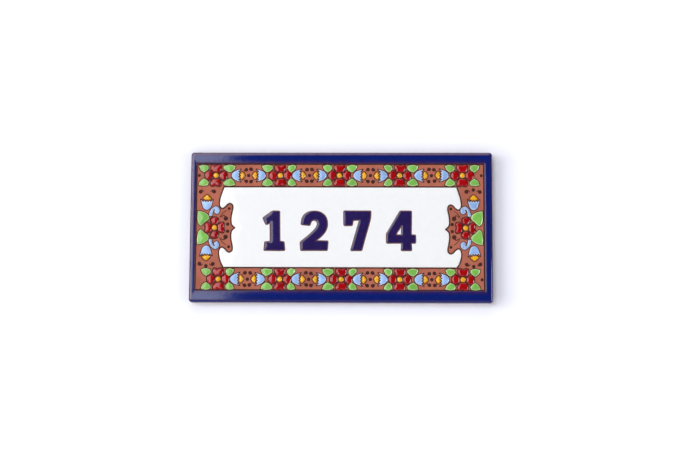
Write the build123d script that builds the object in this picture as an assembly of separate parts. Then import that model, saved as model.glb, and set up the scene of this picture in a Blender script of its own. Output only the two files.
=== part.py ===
from build123d import *
from math import hypot, radians, sqrt, tan
import os

# House sign: one fired clay tile with raised pools of glaze, fixed by its back to a wall.
# Millimetres. It is drawn lying on its back: x to the right, y up the wall, z out of the wall.
# At the end it is stood upright, facing -Y, with the origin at the middle of its back.

# Tile blank
tile_length = 280.0
tile_height = 140.0
body_thickness = 9.0  # from the back to the bare clay of the front
corner_radius = 2.8
arris_radius = 2.6  # rounding of the glazed front edge

# Keying pockets pressed into the back, with a rib along both middle lines
key_columns = 6
key_rows = 4
key_depth = 0.8
key_rib = 3.0
key_margin = 7.0
key_draft = 20.0  # degrees

# Height of the glaze above the bare clay, and the bare line between neighbouring pools
frame_rise = 0.8
panel_rise = 0.6
motif_rise = 0.7
heart_rise = 0.9
pool_slope = 35.0  # lean of a pool's sides, in degrees from upright
line_width = 0.7

# Glazed frame, from the tile's edge to the bare clay inside it
frame_left = 5.3
frame_right = 7.5
frame_top = 10.8
frame_bottom = 11.1

# Ornamented band, from the frame to the white panel
band_top = 22.2
band_bottom = 21.4
band_left = 22.2
band_right = 21.6

# Panel ends: distances in from the end of the panel, and up or down from the middle of that end.
# They are drawn for a panel of end_drawn_height, and grow or shrink with the real height.
end_drawn_height = 74.5
left_end_drop = 0.7  # from the middle of the panel to the middle of its end
right_end_drop = 1.9
panel_corner_in = 4.1
horn_height = 22.0
horn_tip = (2.6, 18.4)
arm_root = (7.1, 22.0)
arm_side = (12.5, 18.4)
cusp_root = (11.2, 3.4)
cusp_in = 14.8

# Flowers: a round heart, two notched petals and two plain ones
heart_radius = 2.7
heart_sides = 12
notched_width = 10.8
notch_depth = 0.9
lobe_drop = 0.7
plain_width = 8.8
plain_reach = 10.3
plain_round = 2.1  # length of a plain petal's round end
column_notched_reach = 9.4
column_plain_width = 7.4
column_plain_round = 2.0

# Rows of flowers, and how far the painter's hand set each one off its even place
row_reach = 9.8  # of the notched petals
row_flower_inset = 20.4
top_drift = (-2.2, 1.1, -0.5, -1.2, 0.1)
bottom_drift = (1.3, 1.5, 1.5, -1.2, 0.2)
bottom_row_drop = 0.4

# Tulips: a toothed cup that opens away from the flower, and the heart in its mouth
cup_length = 8.4
cup_width = 11.8
cup_shoulder = (2.0, 3.8)
cup_teeth = 2
tooth_depth = 0.9
tooth_setback = 0.4
mouth_heart_length = 4.0
mouth_heart_width = 7.8
mouth_heart_round = 2.0
tulip_spread = 7.6  # from the middle of a gap to the mouth of each cup beside it

# Leaves between a flower and a tulip
leaf_foot = (-0.9, 2.6)  # from the closed end of the cup
leaf_tip = (3.5, 9.5)  # from the closed end of the cup
leaf_brow = (7.4, 9.7)  # from the middle of the flower
leaf_heel = (6.2, 7.1)  # from the middle of the flower
leaf_bows = [0.25, 0.1, 0.05, 0.2]

# End columns
column_flower_inset = 17.5
column_flower_drop = 1.0
column_tulip_inset = 10.0
column_tulip_start = 16.6
column_leaf_corners = [(4.8, 1.2), (12.0, 8.4), (11.5, 11.8), (1.6, 15.9), (2.0, 4.2)]
column_leaf_bows = [-0.5, 0.2, 0.7, 0.1, 0.4]
curl_offset = (1.2, 16.2)
curl_radius = 3.6
curl_tail = (6.0, 5.2)
curl_slit_width = 1.9

# Lines and places that follow from the sizes above
field_left = -tile_length / 2 + frame_left
field_right = tile_length / 2 - frame_right
field_top = tile_height / 2 - frame_top
field_bottom = -tile_height / 2 + frame_bottom
panel_left = field_left + band_left
panel_right = field_right - band_right
panel_top = field_top - band_top
panel_bottom = field_bottom + band_bottom
panel_middle = (panel_top + panel_bottom) / 2
end_scale = (panel_top - panel_bottom) / end_drawn_height
column_middle = (field_top + field_bottom) / 2 - column_flower_drop
row_pitch = (field_right - field_left - 2 * row_flower_inset) / (len(top_drift) - 1)
cup_end = row_pitch / 2 - tulip_spread - cup_length  # from a flower's even place to the next cup


def outline(*edges):
    """The face inside a closed run of lines and arcs."""
    return make_face(Curve() + list(edges))


def bowed(start, end, bow):
    """An arc that stands out from its chord, to the right of the way it runs."""
    run_x = end[0] - start[0]
    run_y = end[1] - start[1]
    lean = bow / hypot(run_x, run_y)
    middle_x = (start[0] + end[0]) / 2 + lean * run_y
    middle_y = (start[1] + end[1]) / 2 - lean * run_x
    return ThreePointArc(start, (middle_x, middle_y), end)


def pool(face, rise):
    """Glaze standing on the clay inside an outline, with sloping sides that meet in crisp corners."""
    crown = offset(face, -rise * tan(radians(pool_slope)), kind=Kind.INTERSECTION)
    return Pos(Z=body_thickness) * loft([face.face(), (Pos(Z=rise) * crown).face()], ruled=True)


def flipped(point, side):
    """A point as drawn for side 1, or mirrored across the y axis for side -1."""
    return (side * point[0], point[1])


def blank():
    """The tile body, rounded where the glaze runs over the front edge."""
    slab = extrude(RectangleRounded(tile_length, tile_height, corner_radius), body_thickness + frame_rise)
    return fillet(slab.edges().group_by(Axis.Z)[-1], arris_radius)


def field_recess():
    """The bare clay inside the frame, lower than the frame's glaze."""
    middle_x = (field_left + field_right) / 2
    middle_y = (field_top + field_bottom) / 2
    field = Pos(middle_x, middle_y) * Rectangle(field_right - field_left, field_top - field_bottom)
    return Pos(Z=body_thickness) * extrude(field, frame_rise, taper=-pool_slope)


def key_pockets():
    """Shallow pockets that let the bedding mortar grip the back."""
    pitch_x = (tile_length - 2 * key_margin + key_rib) / key_columns
    pitch_y = (tile_height - 2 * key_margin + key_rib) / key_rows
    pocket = extrude(Rectangle(pitch_x - key_rib, pitch_y - key_rib), key_depth, taper=key_draft)
    return [place * pocket for place in GridLocations(pitch_x, pitch_y, key_columns, key_rows)]


def panel_end_half(end_x, end_drop, inward, up):
    """Half of one end of the panel, from its long edge to the cusp in the middle."""

    def at(point):
        return (end_x + inward * end_scale * point[0], panel_middle + end_scale * (up * point[1] - end_drop))

    half_height = end_drawn_height / 2 + up * end_drop
    corner = (panel_corner_in, half_height)
    shoulder = (panel_corner_in / 4, (half_height + horn_height) / 2)
    horn = (0, horn_height)
    flank = ThreePointArc(at(corner), at(shoulder), at(horn))
    horn_end = TangentArc(at(horn), at(horn_tip), tangent=flank % 1)
    ramp = Line(at(horn_tip), at(arm_root))
    arm = TangentArc(at(arm_root), at(arm_side), tangent=ramp % 1)
    waist = TangentArc(at(arm_side), at(cusp_root), tangent=arm % 1)
    cusp = TangentArc(at(cusp_root), at((cusp_in, 0)), tangent=waist % 1)
    return [flank, horn_end, ramp, arm, waist, cusp]


def white_panel():
    """The panel for the number, with bracketed ends."""
    edges = []
    for end_x, end_drop, inward in ((panel_left, left_end_drop, 1), (panel_right, right_end_drop, -1)):
        for up in (1, -1):
            edges += panel_end_half(end_x, end_drop, inward, up)
    left = panel_left + end_scale * panel_corner_in
    right = panel_right - end_scale * panel_corner_in
    for edge_y in (panel_top, panel_bottom):
        edges.append(Line((left, edge_y), (right, edge_y)))
    return Pos(Z=body_thickness) * extrude(outline(*edges), panel_rise, taper=pool_slope)


def petal_foot():
    """Right end of the straight foot of a petal along y, clear of the heart and of the next petal."""
    distance = heart_radius + line_width
    return (distance - line_width / sqrt(2), distance)


def notched_petal(reach):
    """A petal along y with two lobes and a notch between them."""
    foot = petal_foot()
    corner = (notched_width / 2, reach - lobe_drop)
    lobe = (notched_width / 4, reach)
    notch = (0, reach - notch_depth)
    edges = [Line(flipped(foot, -1), foot)]
    for side in (1, -1):
        edges.append(Line(flipped(foot, side), flipped(corner, side)))
        edges.append(ThreePointArc(flipped(corner, side), flipped(lobe, side), notch))
    return pool(outline(*edges), motif_rise)


def plain_petal(width, round_length):
    """A petal along y with a round end."""
    foot = petal_foot()
    shoulder = (width / 2, plain_reach - round_length)
    edges = [
        Line(flipped(foot, -1), foot),
        Line(foot, shoulder),
        ThreePointArc(shoulder, (0, plain_reach), flipped(shoulder, -1)),
        Line(flipped(shoulder, -1), flipped(foot, -1)),
    ]
    return pool(outline(*edges), motif_rise)


def flower(notched_reach, width, round_length):
    """A flower at the origin, with its notched petals along y."""
    notched = notched_petal(notched_reach)
    plain = plain_petal(width, round_length)
    petals = [Rot(Z=turn) * notched for turn in (0, 180)]
    petals += [Rot(Z=turn) * plain for turn in (90, 270)]
    heart = pool(RegularPolygon(heart_radius, heart_sides), heart_rise)
    return petals + [heart]


def tulip():
    """A tulip along x, with the closed end of its cup at the origin."""
    rim = (cup_length, cup_width / 2)
    floor = cup_length - tooth_depth
    crest = cup_length - tooth_setback
    step = cup_width / (2 * cup_teeth + 2)
    mouth = [rim]
    for tooth in range(cup_teeth):
        mouth.append((floor, rim[1] - (2 * tooth + 1) * step))
        mouth.append((crest, rim[1] - (2 * tooth + 2) * step))
    mouth.append((floor, -rim[1] + step))
    mouth.append((rim[0], -rim[1]))
    lower_shoulder = (cup_shoulder[0], -cup_shoulder[1])
    cup = outline(
        ThreePointArc(cup_shoulder, (0, 0), lower_shoulder),
        Line(lower_shoulder, mouth[-1]),
        Polyline(mouth),
        Line(mouth[0], cup_shoulder),
    )
    heart_start = cup_length + line_width / 2
    heart_end = heart_start + mouth_heart_length
    upper = (heart_end - mouth_heart_round, mouth_heart_width / 2)
    lower = (upper[0], -upper[1])
    heart = outline(
        ThreePointArc(lower, (heart_end, 0), upper),
        Polyline(upper, (heart_start, upper[1] - line_width), (heart_start, lower[1] + line_width), lower),
    )
    return [pool(cup, motif_rise), pool(heart, motif_rise)]


def leaf(corners, bows):
    """A leaf with bowed sides; its corners run anticlockwise."""
    ends = corners[1:] + corners[:1]
    edges = [bowed(start, end, bow) for start, end, bow in zip(corners, ends, bows)]
    return pool(outline(*edges), motif_rise)


def mirrored(solids, plane):
    """The same solids seen in a mirror."""
    return [mirror(solid, about=plane) for solid in solids]


def leaf_pair(reach):
    """The two leaves beside a flower at the origin, where the next cup begins at x = reach."""
    foot = (reach + leaf_foot[0], leaf_foot[1])
    tip = (reach + leaf_tip[0], leaf_tip[1])
    upper = leaf([foot, tip, leaf_brow, leaf_heel], leaf_bows)
    return [upper] + mirrored([upper], Plane.XZ)


def row(row_y, drifts):
    """A row of flowers with their leaves, and the tulips in the gaps between them."""
    solids = []
    bloom = flower(row_reach, plain_width, plain_round)
    cup_pair = tulip()
    last = len(drifts) - 1
    for place, drift in enumerate(drifts):
        even_x = field_left + row_flower_inset + place * row_pitch
        right_reach = cup_end - drift if place < last else cup_end
        left_reach = cup_end + drift if place > 0 else cup_end
        leaves = leaf_pair(right_reach) + mirrored(leaf_pair(left_reach), Plane.YZ)
        solids += [Pos(even_x + drift, row_y) * solid for solid in bloom + leaves]
        if place < last:
            solids += [Pos(even_x + cup_end, row_y) * solid for solid in cup_pair]
        if place > 0:
            solids += [Pos(even_x - cup_end, row_y) * Rot(Z=180) * solid for solid in cup_pair]
    return solids


def curl():
    """A comma of glaze with its blob at the origin and its tail to the right, pointing down."""
    tail_x, tail_drop = curl_tail
    tip = (tail_x, -tail_drop)
    crown = (0, curl_radius)
    blob_foot = (-curl_radius / 4, -curl_radius)
    slit = (curl_radius / 4, 0)
    blob_side = (curl_slit_width / 2, -curl_radius / 2)
    tail_side = (curl_slit_width / 2 + line_width, -curl_radius / 2)
    tail_end = (tail_x - curl_slit_width, -tail_drop)
    face = outline(
        ThreePointArc(tip, (tail_x - line_width / 2, 0), crown),
        ThreePointArc(crown, (-curl_radius, 0), blob_foot),
        Line(blob_foot, blob_side),
        Line(blob_side, slit),
        Line(slit, tail_side),
        Line(tail_side, tail_end),
        Line(tail_end, tip),
    )
    return pool(face, motif_rise)


def column():
    """The ornament of one end, with its frame edge at x = 0 and the panel to the right of it."""
    bloom = flower(column_notched_reach, column_plain_width, column_plain_round)
    solids = [Pos(X=column_flower_inset) * Rot(Z=90) * solid for solid in bloom]
    upper = [leaf(column_leaf_corners, column_leaf_bows), curl_in_place(), *tulip_in_place()]
    return solids + upper + mirrored(upper, Plane.XZ)


def curl_in_place():
    """The curl between the flower of a column and its upper tulip."""
    across, up = curl_offset
    return Pos(column_flower_inset + across, up) * mirror(curl(), about=Plane.YZ)


def tulip_in_place():
    """The upper tulip of a column, opening upwards."""
    return [Pos(column_tulip_inset, column_tulip_start) * Rot(Z=90) * solid for solid in tulip()]


def end_columns():
    """Both ends of the band."""
    left = column()
    right = mirrored(left, Plane.YZ)
    solids = [Pos(field_left, column_middle) * solid for solid in left]
    return solids + [Pos(field_right, column_middle) * solid for solid in right]


top_row = row(field_top - band_top / 2, top_drift)
bottom_row = row(field_bottom + band_bottom / 2 - bottom_row_drop, bottom_drift)
pools = [white_panel()] + top_row + bottom_row + end_columns()
tile = blank() - field_recess() - key_pockets() + pools
sign_tile = Rot(X=90) * tile

os.makedirs("parts", exist_ok=True)
export_step(sign_tile, "parts/sign_tile.step")
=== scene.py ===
"""House sign: a fired clay tile with raised glazes and bare dark lines, on a white wall.

The drawing on the tile is given in millimetres: u to the right and v up from the middle of the
tile, and a height above the bare clay. In the scene u runs along X, v along Z, and the sign
faces -Y with its back at Y = 0.
"""

import logging
import math
from dataclasses import dataclass, field
from enum import Enum
from typing import Iterable, Sequence

import bpy
import numpy as np
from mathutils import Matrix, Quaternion, Vector, geometry


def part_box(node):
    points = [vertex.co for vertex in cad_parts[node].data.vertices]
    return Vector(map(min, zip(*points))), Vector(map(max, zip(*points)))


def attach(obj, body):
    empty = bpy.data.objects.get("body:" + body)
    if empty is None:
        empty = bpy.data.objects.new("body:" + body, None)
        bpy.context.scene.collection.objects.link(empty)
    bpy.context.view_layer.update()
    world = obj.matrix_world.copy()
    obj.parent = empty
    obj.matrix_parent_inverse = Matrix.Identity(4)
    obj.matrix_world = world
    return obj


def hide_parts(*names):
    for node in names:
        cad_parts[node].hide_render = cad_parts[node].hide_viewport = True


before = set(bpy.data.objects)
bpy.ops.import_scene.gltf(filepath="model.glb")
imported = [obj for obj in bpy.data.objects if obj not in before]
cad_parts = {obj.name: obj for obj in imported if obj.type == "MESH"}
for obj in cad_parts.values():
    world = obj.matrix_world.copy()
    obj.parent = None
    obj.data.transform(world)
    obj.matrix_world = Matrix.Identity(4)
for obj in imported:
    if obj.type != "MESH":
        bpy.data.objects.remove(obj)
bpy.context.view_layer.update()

log = logging.getLogger("house_sign")

MM = 0.001
NODE = "sign_tile"
FULL_TURN = 2 * math.pi
TINY = 1e-9  # stands in for a length of nothing where something is divided by it

Point = tuple[float, float]
Place = tuple[float, float, float]
Rgb = tuple[int, int, int]
Rgba = tuple[float, float, float, float]
Face = tuple[int, ...]
Loop = np.ndarray  # a closed outline, n rows of (u, v)
Socket = bpy.types.NodeSocket

# Outlines
FEWEST_POINTS = 12  # of an outline
HAND_WAVES = (2, 3, 4, 5)  # in the waver of a drawn outline, each counted round it
TIP_SOFTENING = 8  # keeps a wavering outline from crossing itself at a sharp tip
MERGE_DISTANCE = 1e-6
ROW_SHARE = math.sqrt(0.75)  # height of a triangle with even sides, in sides
LONG_SIDE_STEPS = 70
SHORT_SIDE_STEPS = 35
CORNER_STEPS = 6


def linear(colour: Rgb) -> Rgba:
    """Turn a colour as seen on a screen into the scene's linear colour.

    Args:
        colour: Red, green and blue from 0 to 255.

    Returns:
        Linear red, green and blue, and an alpha of 1.
    """
    parts = [part / 255 for part in colour]
    values = [p / 12.92 if p <= 0.04045 else ((p + 0.055) / 1.055) ** 2.4 for p in parts]
    return (values[0], values[1], values[2], 1.0)


def curve_through(points: Sequence[Point], steps: int = 8) -> np.ndarray:
    """Draw a smooth curve through points.

    Args:
        points: The points; one or two of them stay as they are.
        steps: Pieces between two neighbouring points.

    Returns:
        Points along the curve, both ends included.
    """
    given = np.array(points, dtype=float)
    if len(given) < 3:
        return given
    padded = np.vstack([2 * given[0] - given[1], given, 2 * given[-1] - given[-2]])
    curve = []
    for before, start, end, after in zip(padded, padded[1:], padded[2:], padded[3:]):
        bend = 2 * before - 5 * start + 4 * end - after
        twist = 3 * (start - end) + after - before
        for step in np.arange(steps) / steps:
            curve.append(start + step / 2 * (end - before + step * (bend + step * twist)))
    return np.vstack(curve + [given[-1]])


def resampled(path: np.ndarray, spacing: float) -> Loop:
    """Walk round a closed path in even steps.

    Args:
        path: Corners of the path, without the first one repeated.
        spacing: Wanted length of a step.

    Returns:
        The even points.
    """
    closed = np.vstack([path, path[:1]])
    lengths = np.hypot(*np.diff(closed, axis=0).T)
    travelled = np.concatenate([[0.0], np.cumsum(lengths)])
    count = max(FEWEST_POINTS, int(round(travelled[-1] / spacing)))
    stops = np.linspace(0, travelled[-1], count, endpoint=False)
    return np.column_stack([np.interp(stops, travelled, closed[:, axis]) for axis in (0, 1)])


def anticlockwise(loop: Loop) -> Loop:
    """Turn an outline round where it runs clockwise.

    Args:
        loop: The outline.

    Returns:
        The same outline, anticlockwise.
    """
    following = np.roll(loop, -1, axis=0)
    area = np.sum(loop[:, 0] * following[:, 1] - following[:, 0] * loop[:, 1]) / 2
    return loop if area > 0 else loop[::-1]


def softened(rows: np.ndarray, times: int) -> np.ndarray:
    """Even out rows round a closed outline with their neighbours.

    Args:
        rows: One row for each point of the outline.
        times: How often they are evened out.

    Returns:
        The evened rows.
    """
    for _ in range(times):
        rows = (np.roll(rows, 1, axis=0) + 2 * rows + np.roll(rows, -1, axis=0)) / 4
    return rows


def drawn(runs: Iterable[Sequence[Point]], soft: float = 0.5, spacing: float = 0.4) -> Loop:
    """Draw a closed outline from runs of points.

    Args:
        runs: Each run is a smooth curve through its points, and a run of one point is a corner.
        soft: How far the corners between the runs are rounded, in millimetres.
        spacing: Length of a step along the outline.

    Returns:
        The outline, anticlockwise.
    """
    loop = resampled(np.vstack([curve_through(run) for run in runs]), spacing)
    return anticlockwise(softened(loop, round(2 * (soft / spacing) ** 2)))


def sharp_runs(points: Iterable[Point]) -> list[list[Point]]:
    """Runs of one point each, for an outline with corners there."""
    return [[point] for point in points]


def midway(one: Point, other: Point, bow: Point) -> Point:
    """The point half way between two others, moved by a bow."""
    return ((one[0] + other[0]) / 2 + bow[0], (one[1] + other[1]) / 2 + bow[1])


def mirrored(points: Sequence[Point], by: Point) -> list[Point]:
    """Mirror a run of points, so that it can follow the run that it mirrors.

    Args:
        points: The run.
        by: -1 for each axis along which it is mirrored, and otherwise 1.

    Returns:
        The mirrored run, the other way round.
    """
    return [(u * by[0], v * by[1]) for u, v in reversed(points)]


def circle(radius: float, count: int) -> Loop:
    """Draw a circle round the origin.

    Args:
        radius: Its radius.
        count: Its number of points.

    Returns:
        The outline, anticlockwise.
    """
    angles = np.linspace(0, FULL_TURN, count, endpoint=False)
    return radius * np.column_stack([np.cos(angles), np.sin(angles)])


def rounded_ring(edges_u: Point, edges_v: Point, radius: float) -> Loop:
    """Draw a rectangle with round corners, with as many points whatever its size.

    Args:
        edges_u: Its left and right edges.
        edges_v: Its bottom and top edges.
        radius: Radius of its corners.

    Returns:
        The outline, anticlockwise from the lower left.
    """
    (left, right), (bottom, top) = edges_u, edges_v
    corners = (
        (left + radius, bottom + radius, 180),
        (right - radius, bottom + radius, 270),
        (right - radius, top - radius, 0),
        (left + radius, top - radius, 90),
    )
    arcs = []
    for u, v, start in corners:
        angles = np.radians(start + np.linspace(0, 90, CORNER_STEPS + 1))
        arcs.append(np.column_stack([u + radius * np.cos(angles), v + radius * np.sin(angles)]))
    points = []
    for arc, following, steps in zip(arcs, arcs[1:] + arcs[:1], (LONG_SIDE_STEPS, SHORT_SIDE_STEPS) * 2):
        shares = np.linspace(0, 1, steps + 1)[1:-1, None]
        points += [arc, arc[-1] + shares * (following[0] - arc[-1])]
    return np.vstack(points)


def across(run: np.ndarray) -> np.ndarray:
    """Turn directions a quarter to the left.

    Args:
        run: Rows of directions, of any length.

    Returns:
        Unit directions to the left of them.
    """
    left = np.column_stack([-run[:, 1], run[:, 0]])
    return left / np.maximum(np.hypot(*left.T), TINY)[:, None]


def inward(loop: Loop) -> np.ndarray:
    """Unit directions to the left of an outline's way round, one at each point."""
    return across(np.roll(loop, -1, axis=0) - np.roll(loop, 1, axis=0))


def wavering(count: int, dice: np.random.Generator, waves: Sequence[int], fade: float) -> np.ndarray:
    """Add up waves round an outline, each of a random size and start.

    Args:
        count: Number of points round the outline.
        dice: Source of the waves.
        waves: How often each wave goes up and down.
        fade: Power of that number by which a wave is smaller.

    Returns:
        The sum at each point.
    """
    turn = np.linspace(0, FULL_TURN, count, endpoint=False)
    total = np.zeros(count)
    for wave in waves:
        total += dice.normal() * np.sin(wave * turn + dice.uniform(0, FULL_TURN)) / wave**fade
    return total


def by_hand(loop: Loop, dice: np.random.Generator, sway: float) -> Loop:
    """Give an outline the slow waver of a drawn line.

    Args:
        loop: The even outline.
        dice: Source of the waver.
        sway: Typical distance that a point moves.

    Returns:
        The wavering outline.
    """
    waver = wavering(len(loop), dice, HAND_WAVES, 1)
    return loop + sway * waver[:, None] * softened(inward(loop), TIP_SOFTENING)


def edge_distance(points: np.ndarray, loops: Sequence[Loop]) -> np.ndarray:
    """Measure how far points are from the nearest outline.

    Args:
        points: Rows of (u, v).
        loops: The outlines.

    Returns:
        One distance for each point.
    """
    nearest = np.full(len(points), np.inf)
    for loop in loops:
        for start, end in zip(loop, np.roll(loop, -1, axis=0)):
            run = end - start
            share = np.clip((points - start) @ run / max(run @ run, TINY), 0, 1)
            gap = points - start - share[:, None] * run
            nearest = np.minimum(nearest, np.hypot(*gap.T))
    return nearest


def inside(points: np.ndarray, loops: Sequence[Loop]) -> np.ndarray:
    """Tell which points lie inside an outline and outside the holes in it.

    Args:
        points: Rows of (u, v).
        loops: The outline and its holes.

    Returns:
        True or False for each point.
    """
    within = np.zeros(len(points), dtype=bool)
    u, v = points.T
    for loop in loops:
        for (u0, v0), (u1, v1) in zip(loop, np.roll(loop, -1, axis=0)):
            if v0 != v1:
                crosses = (v0 > v) != (v1 > v)
                within ^= crosses & (u < (u1 - u0) * (v - v0) / (v1 - v0) + u0)
    return within


def filled(loops: Sequence[Loop], extra: np.ndarray) -> tuple[np.ndarray, list[Face]]:
    """Fill an outline with triangles.

    Args:
        loops: The outline and its holes.
        extra: Further points inside it.

    Returns:
        The points, and the triangles between them, anticlockwise.
    """
    points = np.vstack(list(loops) + [extra])
    edges = []
    first = 0
    for loop in loops:
        edges += [(first + i, first + (i + 1) % len(loop)) for i in range(len(loop))]
        first += len(loop)
    vectors = [Vector(point) for point in points]
    spots, _, faces, _, _, _ = geometry.delaunay_2d_cdt(vectors, edges, [], 0, MERGE_DISTANCE)
    corners = np.array([tuple(spot) for spot in spots])
    triangles = np.array([tuple(face) for face in faces])
    keep = inside(corners[triangles].mean(axis=1), loops)
    return corners, [tuple(int(i) for i in triangle) for triangle in triangles[keep]]


def ring_faces(rings: int, count: int, closed: bool) -> list[Face]:
    """Join each ring of points to the next one with four-sided faces.

    Args:
        rings: Number of rings, whose points follow one another.
        count: Points in each ring.
        closed: Join the last ring to the first one, too.

    Returns:
        The faces, as places among the points.
    """
    faces = []
    for ring in range(rings if closed else rings - 1):
        here, there = ring * count, (ring + 1) % rings * count
        for step in range(count):
            ahead = (step + 1) % count
            faces.append((here + step, here + ahead, there + ahead, there + step))
    return faces


@dataclass(frozen=True)
class Placing:
    """Where a motif drawn round its own origin goes on the tile."""

    at: Point = (0.0, 0.0)
    turn: float = 0.0  # degrees, anticlockwise

    def apply(self, loop: Loop) -> Loop:
        """Put the motif in its place.

        Args:
            loop: An outline of the motif.

        Returns:
            The outline on the tile.
        """
        angle = math.radians(self.turn)
        cos, sin = math.cos(angle), math.sin(angle)
        return loop @ np.array([[cos, sin], [-sin, cos]]) + self.at


# Finishes
NOISE_LOW, NOISE_HIGH = 0.3, 0.7  # between these lie most values of a cloudy noise


class Shading:
    """A material's node tree, and the few kinds of node that the finishes share."""

    def __init__(self, name: str) -> None:
        """Start a material with one surface shader.

        Args:
            name: The material's name.
        """
        self.material = bpy.data.materials.new(name)
        self.material.use_nodes = True
        self.nodes = self.material.node_tree.nodes
        self.links = self.material.node_tree.links
        self.surface = self.nodes["Principled BSDF"]
        self.place = self.nodes.new("ShaderNodeTexCoord").outputs["Object"]

    def noise(self, scale: float, detail: float = 3.0) -> Socket:
        """Make cloudy values about one half.

        Args:
            scale: About how many clouds there are to the metre.
            detail: How many times finer clouds lie on them.

        Returns:
            The values.
        """
        node = self.nodes.new("ShaderNodeTexNoise")
        node.inputs["Scale"].default_value = scale
        node.inputs["Detail"].default_value = detail
        self.links.new(self.place, node.inputs["Vector"])
        return node.outputs["Fac"]

    def drift(self, scale: float, low: float, high: float, detail: float = 3.0) -> Socket:
        """Make cloudy values between two numbers.

        Args:
            scale: About how many clouds there are to the metre.
            low: The lowest value.
            high: The highest value.
            detail: How many times finer clouds lie on them.

        Returns:
            The values.
        """
        return self.spread(self.noise(scale, detail), (NOISE_LOW, low), (NOISE_HIGH, high))

    def attribute(self, name: str) -> Socket:
        """Read a number that the mesh keeps at each of its points.

        Args:
            name: The number's name.

        Returns:
            The number.
        """
        node = self.nodes.new("ShaderNodeAttribute")
        node.attribute_name = name
        return node.outputs["Fac"]

    def distance_from(self, middle: Point, half: Point) -> Socket:
        """Measure how far a point of the wall is from an upright rectangle.

        Args:
            middle: Middle of the rectangle, in metres along X and Z.
            half: Half its width and half its height.

        Returns:
            The distance, 0 inside the rectangle.
        """
        parts = self.nodes.new("ShaderNodeSeparateXYZ")
        self.links.new(self.place, parts.inputs[0])
        squares = []
        for axis, centre, reach in zip("XZ", middle, half):
            off_centre = self.combined("ADD", parts.outputs[axis], -centre)
            beyond = self.combined("ADD", self.combined("ABSOLUTE", off_centre), -reach)
            beyond = self.combined("MAXIMUM", beyond)
            squares.append(self.combined("MULTIPLY", beyond, beyond))
        return self.combined("SQRT", self.combined("ADD", *squares))

    def spread(self, value: Socket, low: Point, high: Point, smooth: bool = False) -> Socket:
        """Map one range of a value on another.

        Args:
            value: The value.
            low: A value, and what it becomes.
            high: A higher value, and what it becomes.
            smooth: Ease in and out of both ends.

        Returns:
            The mapped value, held at both ends.
        """
        node = self.nodes.new("ShaderNodeMapRange")
        node.interpolation_type = "SMOOTHSTEP" if smooth else "LINEAR"
        for socket, number in zip(node.inputs[1:5], (low[0], high[0], low[1], high[1])):
            socket.default_value = number
        self.links.new(value, node.inputs["Value"])
        return node.outputs["Result"]

    def combined(self, operation: str, one: Socket, other: Socket | float = 0.0) -> Socket:
        """Reckon with a value, and with another value or a fixed number.

        Args:
            operation: What is done, in the node's own word.
            one: The value.
            other: The other value, or the number.

        Returns:
            The result.
        """
        node = self.nodes.new("ShaderNodeMath")
        node.operation = operation
        self.links.new(one, node.inputs[0])
        if isinstance(other, float):
            node.inputs[1].default_value = other
        else:
            self.links.new(other, node.inputs[1])
        return node.outputs["Value"]

    def blended(self, first: Rgb | Socket, second: Rgb, share: Socket) -> Socket:
        """Blend from one colour to another.

        Args:
            first: The colour at a share of 0, fixed or from another node.
            second: The colour at a share of 1.
            share: The share, from 0 to 1.

        Returns:
            The blended colour.
        """
        node = self.nodes.new("ShaderNodeMix")
        node.data_type = "RGBA"
        start, end = [socket for socket in node.inputs if socket.type == "RGBA"]
        if isinstance(first, tuple):
            start.default_value = linear(first)
        else:
            self.links.new(first, start)
        end.default_value = linear(second)
        self.links.new(share, node.inputs["Factor"])
        return [socket for socket in node.outputs if socket.type == "RGBA"][0]

    def lightened(self, colour: Socket, amount: Socket) -> Socket:
        """Make a colour lighter or darker.

        Args:
            colour: The colour.
            amount: The factor, 1 for no change.

        Returns:
            The changed colour.
        """
        node = self.nodes.new("ShaderNodeHueSaturation")
        self.links.new(colour, node.inputs["Color"])
        self.links.new(amount, node.inputs["Value"])
        return node.outputs["Color"]

    def coloured(self, colour: Socket) -> None:
        """Give the surface its colour."""
        self.links.new(colour, self.surface.inputs["Base Color"])

    def dulled(self, roughness: float, reflection: float) -> None:
        """Make the surface matte.

        Args:
            roughness: Its roughness, from 0 to 1.
            reflection: Its reflection, where 0.5 is that of glass.
        """
        self.surface.inputs["Roughness"].default_value = roughness
        self.surface.inputs["Specular IOR Level"].default_value = reflection

    def bumped(self, height: Socket, depth: float, strength: float) -> None:
        """Let a value stand out of the surface.

        Args:
            height: The value, from 0 to 1.
            depth: How far a value of 1 stands out, in metres.
            strength: How much of that shows, from 0 to 1.
        """
        node = self.nodes.new("ShaderNodeBump")
        node.inputs["Strength"].default_value = strength
        node.inputs["Distance"].default_value = depth
        self.links.new(height, node.inputs["Height"])
        self.links.new(node.outputs["Normal"], self.surface.inputs["Normal"])


@dataclass(frozen=True)
class Firing:
    """What the kiln did to all the glazes alike; scales are in clouds to the metre."""

    wander_scale: float = 170
    wander_detail: float = 2.0
    cloud_scale: float = 260
    polish_scale: float = 700
    polish_range: Point = (0.6, 1.5)  # factors of the roughness
    hand_range: Point = (0.92, 1.08)  # factors of the colour, from pool to pool
    ripple_scale: float = 420
    ripple_depth: float = 0.0006
    pale_depths: Point = (-1.0, 0.4)  # the pale colour of thin glaze and painted sheen is whole at the first depth and gone at the second


FIRING = Firing()


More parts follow.
